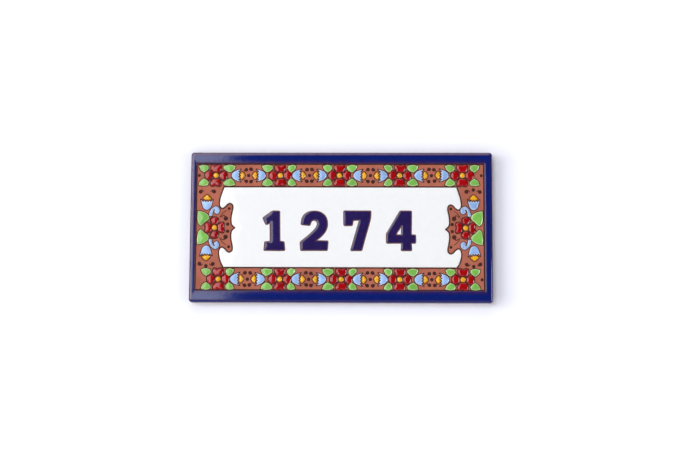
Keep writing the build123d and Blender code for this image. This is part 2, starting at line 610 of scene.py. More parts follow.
@dataclass(frozen=True)
class Glaze:
    """A glossy fired glaze, whose colour goes from a thin rim to a deep middle."""

    name: str
    deep: Rgb
    rim: Rgb
    rim_width: float = 0.9
    roughness: float = 0.06
    mottle: float = 0.10
    ripple: float = 0.03
    bleed: float = 0.0  # how far the rim wanders in and out, in millimetres
    rim_roughness: float = 0.06
    thin: Rgb = (255, 255, 255)  # pale colour where a glaze that bleeds is thin at an edge; on the frame's arris it is also a painted sheen

    def material(self) -> bpy.types.Material:
        """Build the glaze's material.

        Returns:
            The material.
        """
        shading = Shading(self.name)
        wander = shading.drift(FIRING.wander_scale, -self.bleed, self.bleed, FIRING.wander_detail)
        measured = shading.combined("ADD", shading.attribute("pool_depth"), wander)
        depth = shading.spread(measured, (0.0, 0.0), (self.rim_width, 1.0), True)
        colour = shading.blended(self.rim, self.deep, depth)
        # Below the pale depths the pale colour comes in: thin glaze at the edges, and on the frame's
        # arris a painted sheen as well.
        if self.bleed:
            all_pale, none_pale = FIRING.pale_depths
            bare = shading.spread(measured, (all_pale, 1.0), (none_pale, 0.0), True)
            colour = shading.blended(colour, self.thin, bare)
        clouds = shading.drift(FIRING.cloud_scale, 1 - self.mottle, 1 + self.mottle)
        darkest, palest = FIRING.hand_range
        hand = shading.spread(shading.attribute("hand"), (0.0, darkest), (1.0, palest))
        shading.coloured(shading.lightened(colour, shading.combined("MULTIPLY", clouds, hand)))
        dullness = shading.spread(depth, (0.0, self.rim_roughness), (1.0, self.roughness))
        polish = shading.drift(FIRING.polish_scale, *FIRING.polish_range)
        polish = shading.combined("MULTIPLY", polish, dullness)
        shading.links.new(polish, shading.surface.inputs["Roughness"])
        shading.bumped(shading.noise(FIRING.ripple_scale, 1.0), FIRING.ripple_depth, self.ripple)
        return shading.material


@dataclass(frozen=True)
class BareClay:
    """Unglazed fired clay: matte, with fine grog and a slow change of colour."""

    name: str
    light: Rgb
    dark: Rgb
    cloud_scale: float = 45
    cloud_range: Point = (0.3, 0.6)  # noise at which the clay is darkest and lightest
    grog_scale: float = 1900
    grog_detail: float = 2.0
    grog_range: Point = (0.25, 0.75)
    grog_shades: Point = (0.82, 1.14)  # factors of the colour
    grog_depth: float = 0.0004
    grog_relief: float = 0.35
    roughness: float = 0.85
    reflection: float = 0.25

    def material(self) -> bpy.types.Material:
        """Build the clay's material.

        Returns:
            The material.
        """
        shading = Shading(self.name)
        (dark_at, light_at), (low, high) = self.cloud_range, self.grog_range
        clouds = shading.spread(shading.noise(self.cloud_scale), (dark_at, 0.0), (light_at, 1.0))
        grog = shading.noise(self.grog_scale, self.grog_detail)
        shades = shading.spread(grog, (low, self.grog_shades[0]), (high, self.grog_shades[1]))
        shading.coloured(shading.lightened(shading.blended(self.dark, self.light, clouds), shades))
        shading.dulled(self.roughness, self.reflection)
        shading.bumped(grog, self.grog_depth, self.grog_relief)
        return shading.material


@dataclass(frozen=True)
class DryLine:
    """The dark mineral line that keeps two glazes apart."""

    name: str
    colour: Rgb
    faded: Rgb
    cloud_scale: float = 320
    cloud_range: Point = (0.35, 0.7)  # noise at which the line is darkest and most faded
    grain_scale: float = 2400
    grain_depth: float = 0.0002
    grain_relief: float = 0.3
    roughness: float = 0.62
    reflection: float = 0.2

    def material(self) -> bpy.types.Material:
        """Build the line's material.

        Returns:
            The material.
        """
        shading = Shading(self.name)
        dark_at, faded_at = self.cloud_range
        share = shading.spread(shading.noise(self.cloud_scale), (dark_at, 0.0), (faded_at, 1.0))
        shading.coloured(shading.blended(self.colour, self.faded, share))
        shading.dulled(self.roughness, self.reflection)
        shading.bumped(shading.noise(self.grain_scale), self.grain_depth, self.grain_relief)
        return shading.material


CLAY = BareClay("fired_clay", light=(188, 108, 86), dark=(170, 96, 76))
COBALT = Glaze(
    "cobalt_glaze",
    deep=(4, 26, 108),
    rim=(62, 30, 78),
    rim_width=2.7,
    mottle=0.12,
    bleed=0.25,
    rim_roughness=0.16,
    # pale lilac of thin glaze, which on the arris also stands for a painted sheen
    thin=(98, 80, 112),
)
WHITE = Glaze("white_glaze", deep=(250, 250, 250), rim=(226, 220, 218), rim_width=0.9, mottle=0.01)
RED = Glaze("red_glaze", deep=(166, 0, 6), rim=(118, 0, 8), rim_width=1.1)
GREEN = Glaze("green_glaze", deep=(126, 190, 84), rim=(198, 218, 152), rim_width=1.5)
PALE_BLUE = Glaze("pale_blue_glaze", deep=(150, 186, 238), rim=(204, 216, 244), rim_width=1.4)
YELLOW = Glaze("yellow_glaze", deep=(244, 178, 24), rim=(208, 120, 6), rim_width=1.2)
INDIGO = Glaze("indigo_glaze", deep=(38, 24, 84), rim=(92, 62, 84), rim_width=1.1, mottle=0.14)
LINE = DryLine("dry_line", colour=(52, 20, 14), faded=(80, 38, 28))
NUMBER_LINE = DryLine("number_line", colour=(98, 58, 54), faded=(124, 82, 72))
SEED = DryLine("seed_line", colour=(52, 18, 12), faded=(78, 34, 24))


# Sizes and meshes


@dataclass(frozen=True)
class TileSizes:
    """The tile's outer sizes, from the solid, and the lines of its drawing."""

    half_length: float
    half_height: float
    front: float  # from the back to the highest glaze
    highest_rise: float = 0.9  # of a glaze above the bare clay
    corner: float = 2.8
    least_corner: float = 0.5
    frame_left: float = 5.3
    frame_right: float = 7.5
    frame_top: float = 10.8
    frame_bottom: float = 11.1
    band_top: float = 22.2  # from the frame to the white panel
    band_bottom: float = 21.4
    column_drop: float = 1.0  # of the columns' middle below the field's

    @classmethod
    def from_solid(cls) -> "TileSizes":
        """Measure the solid.

        Returns:
            Its sizes, with the drawing set against its edges.
        """
        low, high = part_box(NODE)
        length, thickness, height = [(end - start) / MM for start, end in zip(low, high)]
        return cls(half_length=length / 2, half_height=height / 2, front=thickness)

    @property
    def clay(self) -> float:
        """From the back to the bare clay."""
        return self.front - self.highest_rise

    @property
    def field_left(self) -> float:
        """Left edge of the field inside the frame."""
        return -self.half_length + self.frame_left

    @property
    def field_right(self) -> float:
        """Right edge of that field."""
        return self.half_length - self.frame_right

    @property
    def field_top(self) -> float:
        """Top edge of that field."""
        return self.half_height - self.frame_top

    @property
    def field_bottom(self) -> float:
        """Bottom edge of that field."""
        return -self.half_height + self.frame_bottom

    @property
    def column_middle(self) -> float:
        """Height of the middle of both end columns."""
        return (self.field_top + self.field_bottom) / 2 - self.column_drop

    def ring(self, inset: float) -> Loop:
        """Draw the tile's outline, brought in by a distance.

        Args:
            inset: The distance.

        Returns:
            The outline, anticlockwise.
        """
        u, v = self.half_length - inset, self.half_height - inset
        return rounded_ring((-u, u), (-v, v), max(self.corner - inset, self.least_corner))


@dataclass
class Draft:
    """A piece's points and faces in millimetres, before it becomes an object."""

    sizes: TileSizes
    points: list[Place] = field(default_factory=list)
    faces: list[Face] = field(default_factory=list)
    smooth: list[bool] = field(default_factory=list)
    depths: list[float] = field(default_factory=list)
    hands: list[float] = field(default_factory=list)

    def add(
        self,
        flat: np.ndarray,
        heights: np.ndarray,
        faces: Sequence[Face],
        depths: np.ndarray | None = None,
        hand: float = 0.5,
        smooth: int | None = None,
    ) -> None:
        """Add some points and the faces between them.

        Args:
            flat: Rows of (u, v).
            heights: Height above the bare clay at each point.
            faces: Faces as places in those rows.
            depths: Distance from the edge of the glaze at each point, or none where it is 0.
            hand: A shade for all of them, from 0 to 1.
            smooth: How many of the first faces are shaded as one round surface, or none for all.
        """
        first = len(self.points)
        fronts = -(self.sizes.clay + np.asarray(heights))
        self.points += [(u, y, v) for (u, v), y in zip(flat, fronts)]
        self.faces += [tuple(first + corner for corner in face) for face in faces]
        round_faces = len(faces) if smooth is None else smooth
        self.smooth += [place < round_faces for place in range(len(faces))]
        self.depths += list(np.zeros(len(flat)) if depths is None else depths)
        self.hands += [hand] * len(flat)

    def finished(self, name: str, material: bpy.types.Material) -> bpy.types.Object:
        """Make the piece's object.

        Args:
            name: The piece's name.
            material: Its finish.

        Returns:
            The object, riding with the tile.
        """
        mesh = bpy.data.meshes.new(name)
        mesh.from_pydata((np.array(self.points) * MM).tolist(), [], self.faces)
        mesh.polygons.foreach_set("use_smooth", self.smooth)
        for label, values in (("pool_depth", self.depths), ("hand", self.hands)):
            mesh.attributes.new(label, "FLOAT", "POINT").data.foreach_set("value", values)
        mesh.materials.append(material)
        mesh.validate()
        piece = bpy.data.objects.new(name, mesh)
        bpy.context.scene.collection.objects.link(piece)
        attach(piece, "root")
        return piece


@dataclass
class PoolSet:
    """All pools of one glaze: outlines filled with glaze that stands on the clay with a round edge."""

    name: str
    finish: Glaze | DryLine
    rise: float
    shoulder: float = 1.0  # width of the rounded edge
    base: float = 0.0  # from the clay to what the pools stand on
    crown: float = 0.25  # share of the rise that is a slow dome
    grid: float = 1.3  # distance between the points of the dome
    sink: float = 0.35  # how far the pool reaches into the clay
    sway: float = 0.12
    edge_rings: tuple[tuple[float, int], ...] = ((0.1, 1), (0.32, 1), (0.62, 2), (1.0, 2))
    ring_clearance: float = 0.93  # share of its distance that a ring keeps from every edge
    dome_clearance: float = 1.3  # shoulders between the edge and the dome's points
    pools: list[list[Loop]] = field(default_factory=list)

    def add(self, loops: Sequence[Loop], dice: np.random.Generator) -> None:
        """Draw one more pool.

        Args:
            loops: Its outline and the holes in it, all anticlockwise.
            dice: Source of their waver.
        """
        first, *holes = [by_hand(loop, dice, self.sway) for loop in loops]
        self.pools.append([first] + [hole[::-1] for hole in holes])

    def outlines(self) -> list[Loop]:
        """All outlines and holes, each with the glaze on its left."""
        return [loop for loops in self.pools for loop in loops]

    def shoulder_points(self, loops: Sequence[Loop]) -> list[np.ndarray]:
        """Choose points in rings along a pool's round edge.

        Args:
            loops: The pool's outline and its holes.

        Returns:
            The points of each ring; a ring is a share of the shoulder in, and takes every point
            of the outline or every second one.
        """
        rim = np.vstack(loops)
        left = np.vstack([inward(loop) for loop in loops])
        groups = []
        for share, every in self.edge_rings:
            ring = (rim + share * self.shoulder * left)[::every]
            keep = edge_distance(ring, loops) > self.ring_clearance * share * self.shoulder
            groups.append(ring[keep & inside(ring, loops)])
        return groups

    def dome_points(self, loops: Sequence[Loop]) -> np.ndarray:
        """Choose points in a net of even triangles on a pool's dome.

        Args:
            loops: The pool's outline and its holes.

        Returns:
            The points.
        """
        rim = np.vstack(loops)
        low, high = rim.min(axis=0), rim.max(axis=0)
        columns = np.arange(low[0], high[0], self.grid)
        rows = np.arange(low[1], high[1], self.grid * ROW_SHARE)
        net = np.array([(u + j % 2 * self.grid / 2, v) for j, v in enumerate(rows) for u in columns])
        net = net[inside(net, loops)]
        return net[edge_distance(net, loops) > self.dome_clearance * self.shoulder]

    def pour(self, draft: Draft, loops: Sequence[Loop], hand: float) -> None:
        """Add one pool to the piece.

        Args:
            draft: The piece.
            loops: The pool's outline and its holes.
            hand: The pool's shade.
        """
        extra = np.vstack(self.shoulder_points(loops) + [self.dome_points(loops)])
        flat, triangles = filled(loops, extra)
        depths = edge_distance(flat, loops)
        edge = np.clip(depths / self.shoulder, 0, 1)
        dome = depths / max(depths.max(), TINY)
        heights = self.rise * (1 - self.crown) * (1 - (1 - edge) ** 2)
        heights += self.rise * self.crown * (1 - (1 - dome) ** 2)
        count = len(flat)
        used = {(a, b) for tri in triangles for a, b in zip(tri, tri[1:] + tri[:1])}
        sides = sorted((a, a + count, b + count, b) for a, b in used if (b, a) not in used)
        floor = [(c + count, b + count, a + count) for a, b, c in triangles]
        both = np.vstack([flat, flat])
        levels = self.base + np.concatenate([heights, np.full(count, -self.sink)])
        seen = len(triangles) + len(sides)
        draft.add(both, levels, triangles + sides + floor, np.tile(depths, 2), hand, seen)

    def build(self, sizes: TileSizes, dice: np.random.Generator) -> bpy.types.Object:
        """Make the piece with all its pools.

        Args:
            sizes: The tile's sizes.
            dice: Source of each pool's shade.

        Returns:
            The piece.
        """
        draft = Draft(sizes)
        for loops in self.pools:
            self.pour(draft, loops, dice.uniform())
        return draft.finished(self.name, self.finish.material())


@dataclass
class LineWork:
    """The bare dark lines round the pools: low ridges that follow the outlines."""

    name: str
    finish: DryLine
    base: float = 0.0  # from the clay to what the lines lie on
    inner: float = 0.2  # reach under the glaze
    outer: float = 0.58  # reach away from the glaze
    crest: float = 0.22
    sink: float = 0.3
    outer_round: Point = (0.6, 0.55)  # shares of the reach and of the crest where a side rounds over
    inner_round: Point = (0.4, 0.5)

    def trace(self, draft: Draft, loop: Loop) -> None:
        """Lay one ridge along an outline.

        Args:
            draft: The piece.
            loop: The outline, with its glaze on the left.
        """
        left = inward(loop)
        profile = (
            (self.inner, -self.sink),
            (-self.outer, -self.sink),
            (-self.outer, self.crest * self.outer_round[1]),
            (-self.outer * self.outer_round[0], self.crest),
            (self.inner * self.inner_round[0], self.crest),
            (self.inner, self.crest * self.inner_round[1]),
        )
        flat = np.vstack([loop + reach * left for reach, _ in profile])
        heights = np.repeat([self.base + height for _, height in profile], len(loop))
        draft.add(flat, heights, ring_faces(len(profile), len(loop), closed=True))

    def build(self, sizes: TileSizes, loops: Iterable[Loop]) -> bpy.types.Object:
        """Make the piece with the lines round all the outlines.

        Args:
            sizes: The tile's sizes.
            loops: The outlines, each with its glaze on the left.

        Returns:
            The piece.
        """
        draft = Draft(sizes)
        for loop in loops:
            self.trace(draft, loop)
        return draft.finished(self.name, self.finish.material())


# Tile and frame


@dataclass
class TileBody:
    """The fired clay body, with keying pockets in its back."""

    sizes: TileSizes
    skin: float = 0.25  # thickness of the glaze on the sides
    back_edge: float = 0.3
    front_edge: float = 1.25  # of the slope under the rounded arris, in from the side
    front_edge_drop: float = 1.4
    key_columns: int = 6
    key_rows: int = 4
    key_depth: float = 0.8
    key_rib: float = 3.0
    key_margin: float = 7.0
    key_draft: float = 20.0  # degrees

    def pockets(self) -> list[Loop]:
        """Set out the pockets.

        Returns:
            Their outlines at the back's surface, anticlockwise.
        """
        pitch_u = (2 * (self.sizes.half_length - self.key_margin) + self.key_rib) / self.key_columns
        pitch_v = (2 * (self.sizes.half_height - self.key_margin) + self.key_rib) / self.key_rows
        u, v = (pitch_u - self.key_rib) / 2, (pitch_v - self.key_rib) / 2
        corners = np.array([(-u, -v), (u, -v), (u, v), (-u, v)])
        places = [
            ((i - (self.key_columns - 1) / 2) * pitch_u, (j - (self.key_rows - 1) / 2) * pitch_v)
            for i in range(self.key_columns)
            for j in range(self.key_rows)
        ]
        return [corners + place for place in places]

    def build(self) -> bpy.types.Object:
        """Make the body, which stands for the tile's solid.

        Returns:
            The piece.
        """
        draft = Draft(self.sizes)
        clay = self.sizes.clay
        levels = (
            (self.skin + self.back_edge, 0.0),
            (self.skin, self.back_edge),
            (self.skin, clay - self.front_edge_drop),
            (self.skin + self.front_edge, clay),
        )
        rings = [self.sizes.ring(inset) for inset, _ in levels]
        count = len(rings[0])
        heights = np.repeat([height - clay for _, height in levels], count)
        walls = ring_faces(len(levels), count, closed=False)
        front = tuple(range((len(levels) - 1) * count, len(levels) * count))
        draft.add(np.vstack(rings), heights, walls + [front], smooth=0)
        self.press_back(draft, rings[0])
        body = draft.finished("tile_body", CLAY.material())
        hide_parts(NODE)
        return body

    def press_back(self, draft: Draft, ring: Loop) -> None:
        """Close the body with its back, and press the pockets into it.

        Args:
            draft: The body so far, whose first points are the ring round the back.
            ring: That ring.
        """
        mouths = self.pockets()
        flat, triangles = filled([ring] + [mouth[::-1] for mouth in mouths], np.empty((0, 2)))
        faces = [triangle[::-1] for triangle in triangles]
        inset = self.key_depth * math.tan(math.radians(self.key_draft))
        floors = [mouth + inset * np.sign(mouth.mean(axis=0) - mouth) for mouth in mouths]
        deep_first = len(flat)
        for mouth in mouths:
            rim = [int(np.argmin(np.hypot(*(flat - corner).T))) for corner in mouth]
            deep = [deep_first + i for i in range(len(mouth))]
            following = zip(rim[1:] + rim[:1], deep[1:] + deep[:1])
            faces += [(r, d, next_d, next_r) for r, d, (next_r, next_d) in zip(rim, deep, following)]
            faces.append(tuple(reversed(deep)))
            deep_first += len(mouth)
        shared, before = len(ring), len(draft.points)
        welded = [tuple(i - (before if i < shared else shared) for i in face) for face in faces]
        points = np.vstack([flat[shared:]] + floors)
        heights = np.full(len(points), -self.sizes.clay)
        heights[len(flat) - shared :] += self.key_depth
        draft.add(points, heights, welded, smooth=0)


@dataclass(frozen=True)
class GlazeRing:
    """One ring of points round the frame."""

    loop: Loop
    level: float | np.ndarray  # from the tile's back
    depth: float | np.ndarray  # distance from the edge of the glaze; on the arris, a depth that sets its thin glaze and painted sheen


@dataclass
class FrameGlaze:
    """The cobalt frame: glaze that runs from the bare field over the tile's edge and part way down."""

    sizes: TileSizes
    rise: float = 0.8
    sink: float = 0.4
    field_corner: float = 0.7
    edge_spacing: float = 0.8
    inner_slope: tuple[Point, ...] = ((0, 0), (0.1, 0.34), (0.3, 0.64), (0.65, 0.85), (1.1, 0.95))
    swells: tuple[Point, ...] = ((0.2, 0.03), (0.4, 0.07), (0.6, 0.07), (0.8, 0.04))
    face_depth: float = 3.6
    arris: float = 2.6
    arris_step: int = 15  # degrees
    arris_depth: float = 3.0
    palest_depth: float = -1.0
    paling_fade: float = 0.4
    sheen_side: Point = (-1.0, 1.0)  # towards the lamps at the upper left, where the arris has the most painted sheen
    thin_to_sheen_range: Point = (0.3, 1.0)  # paleness of the arris: thin glaze away from there, thin glaze and painted sheen towards there
    run_end: float = 2.0  # from the back to where the glaze stopped running
    run_edge: tuple[Place, ...] = ((0, 1.2, 0.8), (0.02, 0, 0.3), (0.4, -0.5, 0), (2.2, 0, 0))
    run_waver: float = 0.6
    run_waves: tuple[int, ...] = (5, 8, 13, 21, 34)
    run_fade: float = 0.5

    def inner_ring(self, outset: float) -> Loop:
        """Draw the field's outline, let out by a distance.

        Args:
            outset: The distance.

        Returns:
            The outline, anticlockwise.
        """
        s = self.sizes
        edges_u = (s.field_left - outset, s.field_right + outset)
        return rounded_ring(edges_u, (s.field_bottom - outset, s.field_top + outset), self.field_corner)

    def arris_paleness(self, ring: Loop) -> np.ndarray:
        """Reckon how pale the arris is: thin glaze all round, and a painted sheen that grows towards the
        lamps at the upper left.

        Args:
            ring: A ring along the arris.

        Returns:
            A share from 0 to 1 at each point.
        """
        towards = np.clip(-inward(ring) @ np.array(self.sheen_side), -1, 1)
        return np.interp(towards, (-1, 1), self.thin_to_sheen_range)

    def face_rings(self) -> list[GlazeRing]:
        """Lay rings from the bare field up its edge and over the frame's face.

        Returns:
            The rings. The inner slope gives how far out each is and its share of the rise, and
            the swells give each one's share of the way to the arris and how far it stands up.
        """
        clay, top = self.sizes.clay, self.sizes.clay + self.rise
        rings = [GlazeRing(self.inner_ring(0), clay - self.sink, 0.0)]
        for outset, share in self.inner_slope:
            rings.append(GlazeRing(self.inner_ring(outset), clay + share * self.rise, outset))
        start = self.inner_slope[-1][0]
        near, far = self.inner_ring(start), self.sizes.ring(self.arris)
        for share, swell in self.swells:
            depth = start + self.face_depth * share
            rings.append(GlazeRing(near + share * (far - near), top + swell, depth))
        return rings

    def arris_rings(self) -> list[GlazeRing]:
        """Lay rings over the rounded arris.

        Returns:
            The rings, from the face to the side.
        """
        top = self.sizes.clay + self.rise
        rings = []
        for angle in range(0, 91, self.arris_step):
            cos, sin = math.cos(math.radians(angle)), math.sin(math.radians(angle))
            ring = self.sizes.ring(self.arris * (1 - sin))
            # The arris is paler where its glaze is thin, and paler still towards the upper left as a
            # painted sheen.
            paled = self.arris_paleness(ring) * cos**self.paling_fade
            depth = self.arris_depth + (self.palest_depth - self.arris_depth) * paled
            rings.append(GlazeRing(ring, top - self.arris * (1 - cos), depth))
        return rings

    def run_rings(self, dice: np.random.Generator) -> list[GlazeRing]:
        """Lay rings round the uneven edge where the glaze stopped running, and back under it.

        Args:
            dice: Source of the waver of that edge.

        Returns:
            The rings. The run's edge gives how far in each is, how far it is above the end of
            the run, and its depth.
        """
        count = len(self.sizes.ring(0))
        waver = self.run_waver * wavering(count, dice, self.run_waves, self.run_fade)
        rings = []
        for inset, above, depth in self.run_edge:
            rings.append(GlazeRing(self.sizes.ring(inset), self.run_end + above + waver, depth))
        rings.append(GlazeRing(rings[-1].loop, self.sizes.clay - self.sink, 0.0))
        return rings

    def build(self, dice: np.random.Generator) -> bpy.types.Object:
        """Make the frame as one closed ring of glaze.

        Args:
            dice: Source of the waver of its edge.

        Returns:
            The piece.
        """
        rings = self.face_rings() + self.arris_rings() + self.run_rings(dice)
        count = len(rings[0].loop)
        flat = np.vstack([ring.loop for ring in rings])
        heights = [np.broadcast_to(ring.level - self.sizes.clay, count) for ring in rings]
        depths = [np.broadcast_to(ring.depth, count) for ring in rings]
        faces = [(a, d, c, b) for a, b, c, d in ring_faces(len(rings), count, closed=True)]
        draft = Draft(self.sizes)
        draft.add(flat, np.concatenate(heights), faces, np.concatenate(depths))
        return draft.finished("frame_glaze", COBALT.material())

    def edge(self) -> Loop:
        """The line where the frame meets the bare field, with the glaze on its left."""
        return resampled(self.inner_ring(0), self.edge_spacing)[::-1]


# Ornament


class Ink(Enum):
    """The glazes and lines of the ornament."""

    PETAL = "red_petals"
    HEART = "flower_hearts"
    LEAF = "green_leaves"
    CUP = "tulip_cups"
    MOUTH = "tulip_hearts"
    CURL = "curls"
    SEED = "seed_dots"


@dataclass(frozen=True)
class Flower:
    """A flower with two notched petals and two round ones about a domed heart.

    A petal is drawn along v. Its flare and waist are measured from its foot, and its lobes, notch
    and cheeks back from its end; a share is one of half its width.
    """

    heart: float = 2.65
    heart_points: int = 40
    foot: Point = (2.3, 2.8)
    flare: Point = (1.35, 0.45)
    waist_share: float = 0.97
    waist_rise: float = 3.1
    notched_reach: float = 10.4
    notched_half: float = 5.1
    lobe_side: float = 1.0
    lobe_share: float = 0.6
    notch: Point = (0.3, 0.8)
    notched_soft: float = 0.42
    round_reach: float = 10.6
    round_half: float = 4.85
    round_lift: float = 0.3
    round_share: float = 0.83
    cheek_share: float = 0.74
    cheek: float = 1.1
    round_soft: float = 0.45
    spacing: float = 0.36

    def notched_petal(self) -> Loop:
        """Draw a petal with two lobes.

        Returns:
            Its outline.
        """
        (u, v), half, reach = self.foot, self.notched_half, self.notched_reach
        side = [(u + self.flare[0], v + self.flare[1]), (half * self.waist_share, v + self.waist_rise)]
        lobe = [(half, reach - self.lobe_side), (half * self.lobe_share, reach)]
        lobe.append((self.notch[0], reach - self.notch[1]))
        runs = [[(-u, v)], [(u, v)], side, lobe, mirrored(lobe, (-1, 1)), mirrored(side, (-1, 1))]
        return drawn(runs, self.notched_soft, self.spacing)

    def round_petal(self) -> Loop:
        """Draw a petal with a round end.

        Returns:
            Its outline.
        """
        (u, v), half, reach = self.foot, self.round_half, self.round_reach
        cheek = [(half, reach - half * self.round_share), (half * self.cheek_share, reach - self.cheek)]
        end = [*cheek, (0, reach), *mirrored(cheek, (-1, 1))]
        foot = v + self.round_lift
        return drawn([[(-u, foot)], [(u, foot)], end], self.round_soft, self.spacing)

    def centre(self) -> Loop:
        """The heart's outline."""
        return circle(self.heart, self.heart_points)


@dataclass(frozen=True)
class Tulip:
    """A tulip along u, with the closed end of its cup at its own origin.

    A share is one of half the width, of the cup or of the heart that shows in its mouth.
    """

    length: float = 8.4
    half: float = 5.9
    bowl: Point = (0.8, 2.2)
    belly: float = 2.7
    belly_share: float = 0.66
    waist_shares: Point = (0.65, 0.85)  # of the length and of half the width
    point_out: Point = (0.8, 0.2)  # of the outer points past the length and half the width
    tooth: float = 2.0
    tooth_setback: float = 0.4
    middle_setback: float = 0.5
    valley_shares: Point = (0.66, 0.2)
    tooth_share: float = 0.42
    cup_soft: float = 0.16
    cup_spacing: float = 0.28
    heart_gap: float = 0.15
    heart_length: float = 4.2
    heart_half: float = 3.9
    heart_tooth: float = 0.6  # share of the cup's teeth
    heart_foot: Point = (0.1, 0.2)  # of the heart's inner and outer feet beyond the gap
    heart_foot_share: float = 0.88
    heart_cheek: float = 0.9
    heart_brow: float = 2.6
    heart_brow_share: float = 0.72
    heart_soft: float = 0.25
    heart_spacing: float = 0.3

    def cup(self) -> Loop:
        """Draw the cup: a round bowl with long outer points and teeth in its mouth.

        Returns:
            Its outline.
        """
        rim, half = self.length, self.half
        side = [self.bowl, (self.belly, half * self.belly_share)]
        side.append((rim * self.waist_shares[0], half * self.waist_shares[1]))
        side.append((rim + self.point_out[0], half + self.point_out[1]))
        bowl = [*mirrored(side, (1, -1)), (0, 0), *side]
        outer, inner = [(rim - self.tooth, half * share) for share in self.valley_shares]
        teeth = [outer, (rim - self.tooth_setback, half * self.tooth_share), inner]
        mouth = [*teeth, (rim - self.middle_setback, 0), *mirrored(teeth, (1, -1))]
        return drawn([bowl, *sharp_runs(mouth)], self.cup_soft, self.cup_spacing)

    def mouth(self) -> Loop:
        """Draw the heart that shows in the mouth of the cup, toothed to fit it.

        Returns:
            Its outline.
        """
        rim, half = self.length + self.heart_gap, self.heart_half
        inner, outer = [rim + out for out in self.heart_foot]
        foot = [(outer, half * self.heart_foot_share), (inner, self.half * self.tooth_share)]
        foot.append((rim - self.tooth * self.heart_tooth, self.half * self.valley_shares[1]))
        teeth = [*foot, (inner, 0), *mirrored(foot, (1, -1))]
        brow = [(rim + self.heart_brow, half * self.heart_brow_share), (rim + self.heart_cheek, half)]
        cap = [*mirrored(brow, (1, -1)), (rim + self.heart_length, 0), *brow]
        return drawn([*sharp_runs(teeth), cap], self.heart_soft, self.heart_spacing)


@dataclass(frozen=True)
class Leaf:
    """A leaf between a flower and the next cup, drawn to the upper right of the flower's middle."""

    foot: Point = (-0.9, 2.6)  # along u from the closed end of the cup
    tip: Point = (3.9, 9.0)  # along u from there, too
    back_bow: Point = (0.8, -0.6)
    crown: float = 10.1
    brow: Point = (7.3, 9.2)
    heel: Point = (6.6, 6.6)
    belly_bow: Point = (-0.4, -0.5)
    soft: float = 0.36
    spacing: float = 0.36

    def outline(self, reach: float) -> Loop:
        """Draw the leaf.

        Args:
            reach: From the flower's middle to the closed end of the cup.

        Returns:
            Its outline.
        """
        foot, tip = (reach + self.foot[0], self.foot[1]), (reach + self.tip[0], self.tip[1])
        back = midway(foot, tip, self.back_bow)
        crown = ((self.brow[0] + tip[0]) / 2, self.crown)
        belly = midway(foot, self.heel, self.belly_bow)
        runs = [[foot, back, tip], [tip, crown, self.brow], [self.heel, belly, foot]]
        return drawn(runs, self.soft, self.spacing)


@dataclass(frozen=True)
class Seed:
    """A dark dot, with a tail through further points where it has one."""

    at: Point
    radius: float
    tail: tuple[Point, ...] = ()


@dataclass(frozen=True)
class ColumnPlan:
    """One half of a column; places are in from the frame's edge and away from the column's middle."""

    flower_in: float = 17.5
    leaf: tuple[tuple[Point, ...], ...] = (
        ((1.7, 15.9), (1.5, 9.5), (2.4, 3.8), (4.8, 1.2)),
        ((4.8, 1.2), (8.9, 5.0), (12.4, 8.2), (12.0, 11.8)),
        ((12.0, 11.8), (7.2, 14.8), (1.7, 15.9)),
    )
    leaf_soft: float = 0.5
    tulip: Point = (10.0, 16.6)
    curl_back: tuple[Point, ...] = (
        (12.2, 10.8), (13.0, 15.0), (15.1, 18.3), (18.6, 20.1),
        (21.7, 18.2), (22.2, 15.2), (20.2, 12.7), (17.8, 13.5),
    )
    curl_slit: tuple[Point, ...] = ((17.0, 14.9), (18.2, 17.0), (17.0, 16.8), (15.9, 14.4), (15.2, 10.6))
    curl_soft: float = 0.2
    curl_spacing: float = 0.3
    crown: Seed = Seed((10.2, 35.6), 1.65)
    seeds_before_crown: tuple[Seed, ...] = (Seed((4.2, 33.6), 1.85, ((5.6, 35.2), (7.4, 33.6))),)
    seeds_after_crown: tuple[Seed, ...] = (
        Seed((16.6, 33.8), 1.85, ((15.2, 35.2), (13.2, 33.4))),
        Seed((31.0, 17.8), 1.4),
        Seed((28.0, 8.6), 2.15, ((26.6, 11.2), (24.6, 10.8), (23.6, 9.2))),
        Seed((29.8, 3.3), 1.6),
    )
    stem: tuple[Point, ...] = ((22.4, 9.6), (25.0, 13.4), (28.6, 16.2))
    stem_half: float = 0.4


@dataclass(frozen=True)
class ColumnHalf:
    """The upper or the lower half of the column at one end."""

    edge: float  # where the frame ends
    middle: float
    way: int  # 1 where the panel is to the right, -1 where it is to the left
    up: int  # 1 for the upper half, -1 for the lower one

    @property
    def crowned(self) -> bool:
        """Whether a seed stands beyond the tulip: all but in the upper left."""
        return self.way + self.up < 2

    def spot(self, place: Point) -> Point:
        """A place of the plan on the tile."""
        return (self.edge + self.way * place[0], self.middle + self.up * place[1])

    def spots(self, places: Iterable[Point]) -> list[Point]:
        """Places of the plan on the tile."""
        return [self.spot(place) for place in places]


